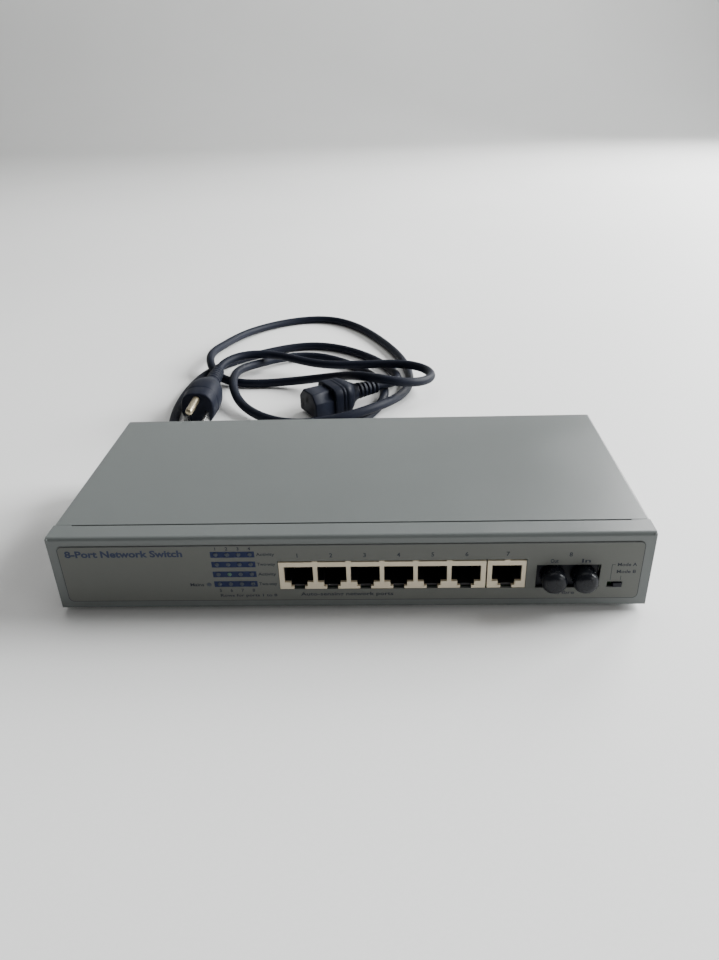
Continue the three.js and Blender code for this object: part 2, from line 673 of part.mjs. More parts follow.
function powerCord() {
  const circle = new THREE.Shape();
  circle.absarc(0, 0, CORD_R, 0, 2 * Math.PI);
  return new THREE.ExtrudeGeometry(circle, {
    steps: CORD_STEPS, curveSegments: CORD_SIDES / 2, bevelEnabled: false,
    extrudePath: new BSplineRoute(CORD_ROUTE),
  });
}

// A frame on the table at the cord end of a plug, with its own Y axis away from the plug's cord.
function cordEndFrame({ end, heading }) {
  const frame = new THREE.Group();
  frame.position.set(end[0], end[1], 0);
  frame.rotation.z = Math.atan2(heading[1], heading[0]) + Math.PI / 2;
  part.add(frame);
  return frame;
}

// Moulded body from its mating face back to a ringed, tapering strain relief, in the cord end's frame.
function strainRelief(z, length, root, tip) {
  const profile = [[0, GAP], [tip, GAP]];
  const rings = 5;
  for (let i = 0; i < rings; i += 1) {
    const y = 2 + ((length - 4) * i) / rings;
    const r = tip + ((root - tip) * (y - GAP)) / length;
    profile.push([r, y], [r - 0.7, y + 0.3], [r - 0.7, y + 1.3], [r + 0.2, y + 1.6]);
  }
  profile.push([root, length], [root, length + 3], [0, length + 3]);
  return turnedAlongY(profile, 0, z, 16);
}

const BLADE = { thick: 1.5, tall: 6.35, long: 18, side: 6.35, z: 6.9 };
const GROUND = { r: 2.4, long: 21.4, z: 18.8 };

function wallPlug() {
  const { width, height, body, relief } = PLUG;
  const w = width / 2;
  const face = relief + body;
  const shape = new THREE.Shape();
  shape.moveTo(-w + 2, 0);
  shape.lineTo(w - 2, 0);
  shape.lineTo(w, 3);
  shape.lineTo(w, 10);
  shape.bezierCurveTo(w, 20, w - 5, height, 0, height);
  shape.bezierCurveTo(-w + 5, height, -w, 20, -w, 10);
  shape.lineTo(-w, 3);
  const front = alongY(shape, face - 24, face, 5);
  const taper = rod([0, relief, 0], [0, face - 23, 0], 7, 12, 20);
  taper.scale(1, 1, 0.98).translate(0, 0, PLUG_CORD_Z);
  const sockets = [-1, 1].map((side) => bladeBlock(side, GAP));
  return shaped(front, [taper, strainRelief(PLUG_CORD_Z, relief, 6.2, 4.4)], [...sockets, groundPin(GAP)]);
}

function bladeBlock(side, grow = 0) {
  const face = PLUG.relief + PLUG.body;
  const x = side * BLADE.side;
  return block(
    [x - BLADE.thick / 2 - grow, x + BLADE.thick / 2 + grow],
    [face - 6 - grow, face + BLADE.long],
    [BLADE.z - BLADE.tall / 2 - grow, BLADE.z + BLADE.tall / 2 + grow]);
}

function groundPin(grow = 0) {
  const face = PLUG.relief + PLUG.body;
  const tip = face + GROUND.long;
  const shank = rod([0, face - 6 - grow, GROUND.z], [0, tip - 1.5, GROUND.z], GROUND.r + grow);
  return shaped(shank, [rod([0, tip - 1.6, GROUND.z], [0, tip, GROUND.z], GROUND.r + grow, 1.2 + grow)]);
}

function cordConnector() {
  const { width, height, body, relief } = CONNECTOR;
  const face = relief + body;
  const z = height / 2;
  const nose = alongY(cutCornerOutline(0, z, 24, 16.2, 5), face - 16, face);
  const grip = alongY(roundedOutline(-width / 2, width / 2, 0, height, 3), relief + 5, face - 14, 3);
  const taper = rod([0, relief, 0], [0, relief + 6, 0], 6.5, 9.6, 16).translate(0, 0, z);
  const slots = PIN_SPOTS.map(([, x, dz]) => block(
    [x - 1.4, x + 1.4], [face - 12, face + 1], [z + dz - 2.6, z + dz + 2.6]));
  return shaped(grip, [nose, taper, strainRelief(CONNECTOR_CORD_Z, relief, 6, 4.4)], slots);
}

const plugFrame = cordEndFrame(PLUG);
const connectorFrame = cordEndFrame(CONNECTOR);
add('power_cord', powerCord(), cordJacket);
add('wall_plug', wallPlug(), cordJacket, plugFrame);
forBothSides((side, sign) => add(`plug_blade_${side}`, bladeBlock(sign), nickel, plugFrame));
add('plug_ground_pin', groundPin(), brass, plugFrame);
add('cord_connector', cordConnector(), cordJacket, connectorFrame);

export default part;
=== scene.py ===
"""Desktop network switch with its detached mains cord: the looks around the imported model.

Blender works in metres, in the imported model's own frame. Shapes are given in mm and scaled by MM.
"""

import json
import math

import bmesh
import bpy
from mathutils import Matrix, Vector


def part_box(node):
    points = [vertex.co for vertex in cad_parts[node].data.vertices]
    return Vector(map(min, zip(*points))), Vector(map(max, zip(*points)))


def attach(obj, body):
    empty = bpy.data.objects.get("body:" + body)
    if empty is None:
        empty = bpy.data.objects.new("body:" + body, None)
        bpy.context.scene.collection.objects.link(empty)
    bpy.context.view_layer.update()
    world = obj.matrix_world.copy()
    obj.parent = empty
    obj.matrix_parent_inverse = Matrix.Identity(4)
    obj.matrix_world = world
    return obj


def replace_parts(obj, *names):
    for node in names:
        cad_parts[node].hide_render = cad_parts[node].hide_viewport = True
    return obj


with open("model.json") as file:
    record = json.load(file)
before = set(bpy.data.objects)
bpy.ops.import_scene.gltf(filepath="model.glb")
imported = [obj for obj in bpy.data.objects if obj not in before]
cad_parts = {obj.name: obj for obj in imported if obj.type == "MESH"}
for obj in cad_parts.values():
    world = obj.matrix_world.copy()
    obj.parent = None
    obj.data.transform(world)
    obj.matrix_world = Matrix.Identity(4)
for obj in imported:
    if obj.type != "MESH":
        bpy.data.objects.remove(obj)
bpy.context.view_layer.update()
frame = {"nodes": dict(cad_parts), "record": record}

NODES = frame["nodes"]
MM = 0.001
ROOT = "switch"

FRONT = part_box("base_chassis")[0].y
LABEL_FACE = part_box("front_label")[0].y


# ---------------------------------------------------------------- camera


CAMERA_SENSOR = 36
CAMERA_LENS = 28.125
CAMERA_PLACE = (0.01846, -0.31205, 0.20396)
CAMERA_TURN = (61.31, 1.81, 1.72)


def make_camera():
    data = bpy.data.cameras.new("camera")
    data.sensor_width = CAMERA_SENSOR
    data.lens = CAMERA_LENS
    camera = bpy.data.objects.new("camera", data)
    camera.location = CAMERA_PLACE
    camera.rotation_euler = [math.radians(a) for a in CAMERA_TURN]
    bpy.context.scene.collection.objects.link(camera)
    bpy.context.scene.camera = camera


make_camera()


# ---------------------------------------------------------------- materials


class Recipe:
    """A Principled material with helpers for the procedural layers on it."""

    def __init__(self, name):
        self.name = name
        self.material = bpy.data.materials.new(name)
        self.material.use_nodes = True
        self.tree = self.material.node_tree
        self.shader = self.tree.nodes["Principled BSDF"]
        self.place = self.node("ShaderNodeTexCoord").outputs["Object"]

    def node(self, kind, **settings):
        made = self.tree.nodes.new(kind)
        for key, value in settings.items():
            setattr(made, key, value)
        return made

    def link(self, source, target):
        self.tree.links.new(source, target)

    def stretched(self, scale):
        mapping = self.node("ShaderNodeMapping")
        mapping.inputs["Scale"].default_value = scale
        self.link(self.place, mapping.inputs["Vector"])
        return mapping.outputs["Vector"]

    def noise(self, size, detail=3.0, stretch=None):
        """Noise whose features are about size across, in metres."""
        made = self.node("ShaderNodeTexNoise")
        made.inputs["Scale"].default_value = 1 / size
        made.inputs["Detail"].default_value = detail
        self.link(self.stretched(stretch) if stretch else self.place, made.inputs["Vector"])
        return made.outputs["Fac"]

    def ranged(self, value, low, high, start=0.3, end=0.7):
        made = self.node("ShaderNodeMapRange")
        made.inputs["From Min"].default_value = start
        made.inputs["From Max"].default_value = end
        made.inputs["To Min"].default_value = low
        made.inputs["To Max"].default_value = high
        self.link(value, made.inputs["Value"])
        return made.outputs["Result"]

    def mixed(self, factor, a, b):
        made = self.node("ShaderNodeMix", data_type="RGBA")
        self.link(factor, made.inputs["Factor"])
        for value, socket in ((a, made.inputs[6]), (b, made.inputs[7])):
            if isinstance(value, bpy.types.NodeSocket):
                self.link(value, socket)
            else:
                socket.default_value = (*value[:3], 1)
        return made.outputs[2]

    def maths(self, operation, a, b=None):
        made = self.node("ShaderNodeMath", operation=operation)
        for value, socket in ((a, made.inputs[0]), (b, made.inputs[1])):
            if isinstance(value, bpy.types.NodeSocket):
                self.link(value, socket)
            elif value is not None:
                socket.default_value = value
        return made.outputs[0]

    def edges(self, radius):
        """1 on sharp edges, 0 on flat faces."""
        rounded = self.node("ShaderNodeBevel", samples=4)
        rounded.inputs["Radius"].default_value = radius
        true = self.node("ShaderNodeNewGeometry")
        dot = self.node("ShaderNodeVectorMath", operation="DOT_PRODUCT")
        self.link(rounded.outputs["Normal"], dot.inputs[0])
        self.link(true.outputs["Normal"], dot.inputs[1])
        bend = self.maths("SUBTRACT", 1.0, dot.outputs["Value"])
        return self.ranged(bend, 0, 1, 0.02, 0.25)

    def bump(self, height, depth):
        made = self.node("ShaderNodeBump")
        made.inputs["Distance"].default_value = depth
        made.inputs["Strength"].default_value = 1.0
        self.link(height, made.inputs["Height"])
        self.link(made.outputs["Normal"], self.shader.inputs["Normal"])


def shade(color, factor):
    return tuple(min(1.0, c * factor) for c in color[:3])


ROUGH_SPREAD = 0.06
WEAR_RADIUS = 0.25


def surface(name, color, rough, metal=0.0, grain=0.5, depth=0.02, mottle=25, spread=0.08,
            wear=None, stretch=None, gloss=0.5):
    """A finish with broad mottling, a fine grain in colour and bump, and uneven roughness.

    grain, depth and mottle are sizes in mm. wear is the colour that rubbed edges show.
    """
    recipe = Recipe(name)
    broad = recipe.noise(mottle * MM, 4)
    fine = recipe.noise(grain * MM, 2, stretch)
    tint = recipe.mixed(recipe.ranged(broad, 0, 1), shade(color, 1 - spread), shade(color, 1 + spread))
    speck = recipe.mixed(recipe.ranged(fine, 0, 0.35), tint, shade(color, 1 - 2.2 * spread))
    if wear:
        patchy = recipe.ranged(recipe.noise(2 * MM), 0, 1, 0.35, 0.6)
        rubbed = recipe.maths("MULTIPLY", recipe.edges(WEAR_RADIUS * MM), patchy)
        speck = recipe.mixed(rubbed, speck, wear)
    recipe.link(speck, recipe.shader.inputs["Base Color"])
    uneven = recipe.ranged(broad, rough - ROUGH_SPREAD, rough + ROUGH_SPREAD)
    recipe.link(uneven, recipe.shader.inputs["Roughness"])
    recipe.shader.inputs["Metallic"].default_value = metal
    recipe.shader.inputs["Specular IOR Level"].default_value = gloss
    recipe.bump(fine, depth * MM)
    return recipe


def slot_color(name):
    """The colour that the record gives this material slot."""
    for slot in frame["record"]["materials"]:
        if slot["slot"] == name:
            return slot["base_color"]
    raise ValueError(name)


def slot_surface(name, rough, metal=0.0, **details):
    """A finish in its slot's own colour."""
    return surface(name, slot_color(name), rough, metal, **details)


FACE_THICK = 0.9
# Near-black painted shade for the dark openings of the jacks.
RECESS_SHADE_BLACK = (0.008, 0.008, 0.009)


def jack_plastic():
    """Cream moulded faces, with painted shade: all plastic deeper than the face is painted near-black."""
    recipe = slot_surface("jack_plastic", 0.42, grain=0.35, depth=0.008, mottle=12, spread=0.04)
    cream = recipe.shader.inputs["Base Color"].links[0].from_socket
    split = recipe.node("ShaderNodeSeparateXYZ")
    recipe.link(recipe.place, split.inputs[0])
    # Painted shade: plastic more than FACE_THICK behind the front is painted near-black.
    inside = recipe.maths("GREATER_THAN", split.outputs["Y"], FRONT + FACE_THICK * MM)
    recipe.link(recipe.mixed(inside, cream, RECESS_SHADE_BLACK), recipe.shader.inputs["Base Color"])
    return recipe


def circuit_board():
    """Green solder mask over copper tracks, which show as a lighter, raised pattern."""
    recipe = slot_surface("circuit_board", 0.3, grain=0.3, depth=0.006, spread=0.12)
    tracks = recipe.node("ShaderNodeTexBrick")
    tracks.inputs["Scale"].default_value = 160
    tracks.inputs["Mortar Size"].default_value = 0.03
    recipe.link(recipe.place, tracks.inputs["Vector"])
    green = recipe.shader.inputs["Base Color"].links[0].from_socket
    tracked = recipe.mixed(tracks.outputs["Fac"], green, (0.06, 0.24, 0.08))
    recipe.link(tracked, recipe.shader.inputs["Base Color"])
    return recipe


def tinted_glass():
    """The fuse's clear tube."""
    recipe = surface("fuse_glass", (0.8, 0.84, 0.83), 0.05, spread=0.02, depth=0.002)
    recipe.shader.inputs["Transmission Weight"].default_value = 0.9
    return recipe


def lens(name, color, glow=0.0):
    """A small moulded window over a light, which may be lit."""
    recipe = surface(name, color, 0.45, grain=0.2, depth=0.004, mottle=1.5, spread=0.1, gloss=0.25)
    recipe.shader.inputs["Transmission Weight"].default_value = 0.15
    recipe.shader.inputs["Emission Color"].default_value = (*color, 1)
    recipe.shader.inputs["Emission Strength"].default_value = glow
    return recipe


PAINT = (0.104, 0.115, 0.112)
WORN = (0.34, 0.36, 0.355)
RECIPES = {recipe.name: recipe for recipe in (
    surface("case_paint", PAINT, 0.36, grain=0.45, depth=0.011, mottle=45, spread=0.035, wear=WORN),
    surface("cover_paint", PAINT, 0.34, grain=0.45, depth=0.011, mottle=60, spread=0.04, wear=WORN),
    surface("label_film", (0.108, 0.112, 0.102), 0.6, grain=0.3, depth=0.006, mottle=35, spread=0.04,
            gloss=0.35),
    circuit_board(),
    jack_plastic(),
    slot_surface("contact_gold", 0.25, 1.0, grain=0.2, depth=0.003, mottle=3, spread=0.1),
    surface("black_plastic", (0.009, 0.010, 0.015), 0.5, grain=0.3, depth=0.012, mottle=8, spread=0.2,
            gloss=0.2),
    slot_surface("nickel_plate", 0.28, 1.0, grain=0.3, depth=0.004, mottle=6, spread=0.1),
    slot_surface("screw_steel", 0.36, 1.0, grain=0.2, depth=0.006, mottle=2, spread=0.14),
    surface("cap_rubber", (0.006, 0.007, 0.010), 0.28, grain=0.25, depth=0.006, mottle=4, spread=0.15,
            gloss=0.22),
    lens("light_lens", (0.055, 0.066, 0.085)),
    lens("light_lens_lit", (0.06, 0.12, 0.09), 0.01),
    slot_surface("heatsink", 0.38, 1.0, grain=0.3, depth=0.01, mottle=10, stretch=(1, 8, 1)),
    slot_surface("chip_epoxy", 0.6, grain=0.25, depth=0.01, mottle=6, spread=0.2),
    slot_surface("transformer_tape", 0.35, grain=0.8, depth=0.02, mottle=9),
    slot_surface("capacitor_sleeve", 0.3, grain=0.6, depth=0.01, mottle=8),
    tinted_glass(),
    slot_surface("harness_cable", 0.5, grain=1.0, depth=0.05, stretch=(0.2, 1, 1)),
    slot_surface("foot_rubber", 0.75, grain=0.4, depth=0.03, mottle=5, spread=0.2),
    surface("cord_jacket", (0.005, 0.007, 0.015), 0.55, grain=0.5, depth=0.010, mottle=20, spread=0.18,
            gloss=0.12),
    surface("ground_brass", (0.45, 0.39, 0.27), 0.35, 1.0, grain=0.25, depth=0.004, mottle=4,
            spread=0.12),
    surface("ink_blue", (0.012, 0.019, 0.060), 0.6, grain=0.2, depth=0.003, mottle=5, spread=0.1,
            gloss=0.2),
    surface("ink_title", (0.030, 0.038, 0.074), 0.6, grain=0.2, depth=0.003, mottle=5, spread=0.1,
            gloss=0.2),
    surface("ink_grey", (0.022, 0.024, 0.036), 0.6, grain=0.2, depth=0.003, mottle=5, spread=0.1,
            gloss=0.2),
    surface("ceramic", (0.75, 0.74, 0.70), 0.2, grain=0.2, depth=0.002, mottle=2, spread=0.03),
    # Near-black for the painted shade in the connector's pin slots.
    surface("slot_painted_shade", (0.004, 0.004, 0.005), 0.7, grain=0.3, depth=0.005, mottle=4, spread=0.2),
)}


# ---------------------------------------------------------------- shapes


def add_piece(mesh, name, recipe, body=ROOT, smooth=True):
    """A piece made of this mesh, riding on its body."""
    mesh.materials.clear()
    mesh.materials.append(RECIPES[recipe].material)
    for polygon in mesh.polygons:
        polygon.use_smooth = smooth
    piece = bpy.data.objects.new(name, mesh)
    bpy.context.scene.collection.objects.link(piece)
    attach(piece, body)
    return piece


def shade_flat_faces_evenly(piece):
    piece.modifiers.new("normals", "WEIGHTED_NORMAL")


SHARP_ANGLE = math.radians(32)


def soften(piece, width):
    """Rounded edges, width mm across, with clean shading on the flat faces between them."""
    bevel = piece.modifiers.new("bevel", "BEVEL")
    bevel.width = width * MM
    bevel.segments = 2
    bevel.limit_method = "ANGLE"
    bevel.angle_limit = SHARP_ANGLE
    bevel.use_clamp_overlap = False
    shade_flat_faces_evenly(piece)


def dress(node, recipe, edge):
    """A CAD node with its finish, and slightly rounded edges."""
    piece = NODES[node]
    mesh = piece.data
    custom = mesh.attributes.get("custom_normal")
    if custom:
        mesh.attributes.remove(custom)
    mesh.materials.clear()
    mesh.materials.append(RECIPES[recipe].material)
    for polygon in mesh.polygons:
        polygon.use_smooth = True
    weld = piece.modifiers.new("weld", "WELD")
    weld.merge_threshold = 1e-6
    soften(piece, edge)


def lathe(name, profile, place, segments):
    """A closed solid turned about its own Y axis.

    profile is (radius, y) points in mm. It starts and ends on the axis, or closes on itself.
    """
    bm = bmesh.new()
    turn = [2 * math.pi * k / segments for k in range(segments)]
    rows = []
    for r, y in profile:
        if r < 1e-6:
            rows.append([bm.verts.new((0, y * MM, 0))])
            continue
        rows.append([bm.verts.new((r * MM * math.cos(t), y * MM, r * MM * math.sin(t))) for t in turn])
    for a, b in zip(rows, rows[1:]):
        for k in range(segments):
            n = (k + 1) % segments
            corners = [a[k % len(a)], a[n % len(a)], b[n % len(b)], b[k % len(b)]]
            unique = list(dict.fromkeys(corners))
            if len(unique) > 2:
                bm.faces.new(unique)
    bmesh.ops.recalc_face_normals(bm, faces=bm.faces)
    return finished(bm, name, place)


def loft(name, rings, place):
    """A closed skin through rings of the same number of points, with a flat face at each end."""
    bm = bmesh.new()
    rows = [[bm.verts.new(p) for p in ring] for ring in rings]
    for a, b in zip(rows, rows[1:]):
        for k in range(len(a)):
            n = (k + 1) % len(a)
            bm.faces.new((a[k], a[n], b[n], b[k]))
    bm.faces.new(rows[0])
    bm.faces.new(rows[-1])
    bmesh.ops.recalc_face_normals(bm, faces=bm.faces)
    return finished(bm, name, place)


def finished(bm, name, place):
    """The mesh of a bmesh that is done, moved to its place."""
    bm.transform(place)
    mesh = bpy.data.meshes.new(name)
    bm.to_mesh(mesh)
    bm.free()
    return mesh


def joined(name, meshes):
    """One mesh made of several, which are used up."""
    bm = bmesh.new()
    for mesh in meshes:
        bm.from_mesh(mesh)
        bpy.data.meshes.remove(mesh)
    return finished(bm, name, Matrix.Identity(4))


def from_curve(curve):
    """The mesh that a curve or text makes. The object that held it is removed."""
    holder = bpy.data.objects.new("holder", curve)
    bpy.context.scene.collection.objects.link(holder)
    seen = holder.evaluated_get(bpy.context.evaluated_depsgraph_get())
    mesh = bpy.data.meshes.new_from_object(seen)
    bpy.data.objects.remove(holder)
    return mesh


def plate(name, loops, thick, place, bevel=0.0):
    """A flat plate from an outline and its holes, which are lists of (x, y) in mm."""
    curve = bpy.data.curves.new(name, "CURVE")
    curve.dimensions = "2D"
    curve.fill_mode = "BOTH"
    curve.extrude = (thick / 2 - bevel) * MM
    curve.bevel_depth = bevel * MM
    curve.bevel_resolution = 2
    for loop in loops:
        spline = curve.splines.new("POLY")
        spline.points.add(len(loop) - 1)
        for point, (x, y) in zip(spline.points, loop):
            point.co = (x * MM, y * MM, 0, 1)
        spline.use_cyclic_u = True
    mesh = from_curve(curve)
    mesh.transform(place)
    return mesh


def facing_front(x, y, z):
    """Turns what is drawn in X and Y to face -Y, and moves it."""
    return Matrix.Translation((x, y, z)) @ Matrix.Rotation(math.radians(90), 4, "X")


def rounded_loop(left, right, bottom, top, radius, steps=6):
    """A rectangle with rounded corners, in mm, as a list of (x, y)."""
    loop = []
    corners = ((right, bottom, -90), (right, top, 0), (left, top, 90), (left, bottom, 180))
    for x, y, start in corners:
        cx = x - math.copysign(radius, x - (left + right) / 2)
        cy = y - math.copysign(radius, y - (bottom + top) / 2)
        for k in range(steps + 1):
            a = math.radians(start + 90 * k / steps)
            loop.append((cx + radius * math.cos(a), cy + radius * math.sin(a)))
    return loop


# ---------------------------------------------------------------- cord set

CORD_R = 3.1 * MM
CORD_ROUTE = [
    (0.0097, 0.1783, 0.01), (0.0182, 0.1836, 0.01), (0.026, 0.196, 0.007), (0.0225, 0.226, 0.0032),
    (0, 0.266, 0.0032), (-0.045, 0.3, 0.0032), (-0.098, 0.264, 0.0032), (-0.1285, 0.226, 0.0032),
    (-0.129, 0.132, 0.0032), (-0.104, 0.084, 0.0032), (-0.014, 0.102, 0.0032), (0.022, 0.173, 0.0032),
    (0.008, 0.222, 0.0032), (-0.044, 0.278, 0.0032), (-0.089, 0.236, 0.006), (-0.098, 0.203, 0.013),
    (-0.086, 0.156, 0.0032), (-0.038, 0.113, 0.0065), (0.014, 0.136, 0.013), (0.033, 0.184, 0.0032),
    (0.035, 0.229, 0.0032), (0.019, 0.289, 0.0032), (-0.03, 0.384, 0.0032), (-0.104, 0.342, 0.0032),
    (-0.118, 0.278, 0.008), (-0.123, 0.24, 0.014), (-0.111, 0.213, 0.0038), (-0.086, 0.203, 0.0032),
    (-0.052, 0.207, 0.0034), (-0.013, 0.187, 0.0155), (0.004, 0.1645, 0.023), (0.0335, 0.1595, 0.0175),
    (0.0545, 0.189, 0.012), (0.036, 0.2225, 0.0125), (-0.028, 0.219, 0.009), (-0.058, 0.237, 0.012),
    (-0.08, 0.2435, 0.0132), (-0.0985, 0.2375, 0.0135), (-0.1071, 0.221, 0.013), (-0.1075, 0.208, 0.012),
]
CONNECTOR_HEADING = (0.848, 0.53)
PLUG_HEADING = (0.0, 1.0)


def along_route(guides, per_span=10):
    """Points on the uniform cubic B-spline of these guides, from the first to the last."""
    p = [Vector(g) for g in guides]
    p = [2 * p[0] - p[1], *p, 2 * p[-1] - p[-2]]
    line = []
    for i in range(len(guides) - 1):
        for k in range(per_span):
            t = k / per_span
            weights = ((1 - t) ** 3, 3 * t**3 - 6 * t * t + 4, -3 * t**3 + 3 * t * t + 3 * t + 1, t**3)
            line.append(sum((w * q for w, q in zip(weights, p[i:i + 4])), Vector()) / 6)
    line.append(Vector(guides[-1]))
    return line


def make_cord():
    """The cord as one open spline, with its length."""
    line = along_route(CORD_ROUTE)
    curve = bpy.data.curves.new("cord_run", "CURVE")
    curve.dimensions = "3D"
    curve.bevel_depth = CORD_R
    curve.bevel_resolution = 6
    curve.use_fill_caps = True
    spline = curve.splines.new("POLY")
    spline.points.add(len(line) - 1)
    for point, at in zip(spline.points, line):
        point.co = (*at, 1)
    spline.use_smooth = True
    curve.materials.append(RECIPES["cord_jacket"].material)
    piece = bpy.data.objects.new("cord_run", curve)
    bpy.context.scene.collection.objects.link(piece)
    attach(piece, ROOT)
    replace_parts(piece, "power_cord")
    return piece, sum((b - a).length for a, b in zip(line, line[1:]))


def cord_end(at, heading):
    """The frame on the table under a cord's end, with its own Y axis towards the mating face.

    heading is the way the cord leaves the piece.
    """
    turn = math.atan2(heading[1], heading[0]) + math.pi / 2
    return Matrix.Translation((at[0], at[1], 0)) @ Matrix.Rotation(turn, 4, "Z")


def strain_relief(name, z, length, root, tip, place, rings=6):
    """A tapering sleeve with moulded rings, from the cord end's frame."""
    profile = [(0, 0.3), (tip - 0.3, 0.3), (tip, 0.7)]
    for i in range(rings):
        pitch = (length - 3.5) / rings
        y = 1.8 + (length - 3.5) * i / rings
        r = tip + (root - tip) * y / length
        profile += [(r, y), (r - 0.55, y + 0.25), (r - 0.75, y + 0.6), (r - 0.75, y + 1.1),
                    (r - 0.5, y + 1.5), (r + 0.1, y + 1.75), (r + 0.15, y + pitch - 0.3)]
    profile += [(root, length - 0.5), (root, length + 3), (0, length + 3)]
    return lathe(name, profile, place @ Matrix.Translation((0, 0, z * MM)), 48)


def oval(y, half_x, half_z, z, power, flat=0.0, count=56):
    """A superellipse across the frame's Y axis, in mm, not reaching below flat."""
    ring = []
    for k in range(count):
        a = 2 * math.pi * k / count
        c, s = math.cos(a), math.sin(a)
        x = half_x * math.copysign(abs(c) ** (2 / power), c)
        h = z + half_z * math.copysign(abs(s) ** (2 / power), s)
        ring.append(Vector((x, y, max(flat, h))) * MM)
    return ring


PLUG_FACE = 70
PLUG_Z = 12
PRONG_ROOT = PLUG_FACE - 5.6
BLADE_TIP = PLUG_FACE + 18
BLADE_HALF = 3.17
BLADE_OFF_MIDDLE = 6.35
BLADE_Z = 6.9
BLADE_HOLE_R = 1.55
PIN_TIP = PLUG_FACE + 21.4
PIN_R = 2.38
PIN_Z = 18.8


def make_plug():
    place = cord_end(CORD_ROUTE[-1], PLUG_HEADING)
    z = PLUG_Z
    rings = [
        oval(25, 5.6, 5.6, z, 2.0), oval(29, 6.6, 6.6, z, 2.0), oval(33, 8.6, 8.4, z, 2.1),
        oval(38, 10.4, 10.0, z, 2.3), oval(44, 11.5, 11.4, z, 2.4), oval(50, 11.8, 11.8, z, 2.4),
        oval(57.5, 11.5, 11.6, z, 2.5), oval(58, 11.0, 11.1, z, 2.5), oval(59, 11.0, 11.1, z, 2.5),
        oval(59.5, 11.4, 11.5, z, 2.5), oval(68.6, 10.8, 11.1, z, 2.6), oval(69.5, 10.4, 10.7, z, 2.6),
        oval(PLUG_FACE, 9.6, 9.9, z, 2.6),
    ]
    body = loft("plug_body", rings, place)
    relief = strain_relief("plug_relief", z, 28, 6.0, 4.4, place)
    piece = add_piece(joined("mains_plug", [body, relief]), "mains_plug", "cord_jacket")
    shade_flat_faces_evenly(piece)
    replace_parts(piece, "wall_plug")
    return piece


def blade(side, sign):
    """A flat blade with a chamfered end and the hole near it, standing on edge."""
    place = cord_end(CORD_ROUTE[-1], PLUG_HEADING)
    half, tip = BLADE_HALF, BLADE_TIP
    outline = [(PRONG_ROOT, -half), (tip - 1.6, -half), (tip, -half + 1.4),
               (tip, half - 1.4), (tip - 1.6, half), (PRONG_ROOT, half)]
    turn = [2 * math.pi * k / 20 for k in range(20)]
    hole = [(tip - 5.5 + BLADE_HOLE_R * math.cos(a), BLADE_HOLE_R * math.sin(a)) for a in turn]
    upright = Matrix(((0, 0, 1, 0), (1, 0, 0, 0), (0, 1, 0, 0), (0, 0, 0, 1)))
    at = place @ Matrix.Translation((sign * BLADE_OFF_MIDDLE * MM, 0, BLADE_Z * MM)) @ upright
    mesh = plate(f"blade_{side}", [outline, hole], 1.5, at, 0.2)
    piece = add_piece(mesh, f"blade_{side}", "nickel_plate", smooth=False)
    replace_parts(piece, f"plug_blade_{side}")
    return piece


def make_ground_pin():
    place = cord_end(CORD_ROUTE[-1], PLUG_HEADING) @ Matrix.Translation((0, 0, PIN_Z * MM))
    tip = PIN_TIP
    profile = [(0, PRONG_ROOT), (PIN_R, PRONG_ROOT), (PIN_R, tip - 2.6), (2.2, tip - 1.4),
               (1.7, tip - 0.5), (0.9, tip - 0.1), (0, tip)]
    piece = add_piece(lathe("ground_pin", profile, place, 40), "ground_pin", "ground_brass")
    shade_flat_faces_evenly(piece)
    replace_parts(piece, "plug_ground_pin")
    return piece


def cut_corner_ring(y, half_x, half_z, z, corner):
    """The connector's outline: a rectangle with its two upper corners cut off, each corner eased."""
    ease = 0.9
    points = [
        (-half_x + ease, -half_z), (half_x - ease, -half_z),
        (half_x, -half_z + ease), (half_x, half_z - corner - ease),
        (half_x - 0.5, half_z - corner), (half_x - corner, half_z - 0.5),
        (half_x - corner - ease, half_z), (-half_x + corner + ease, half_z),
        (-half_x + corner, half_z - 0.5), (-half_x + 0.5, half_z - corner),
        (-half_x, half_z - corner - ease), (-half_x, -half_z + ease),
    ]
    return [Vector((x, y, z + h)) * MM for x, h in points]


CONNECTOR_Z = 10
CONNECTOR_FACE = 54


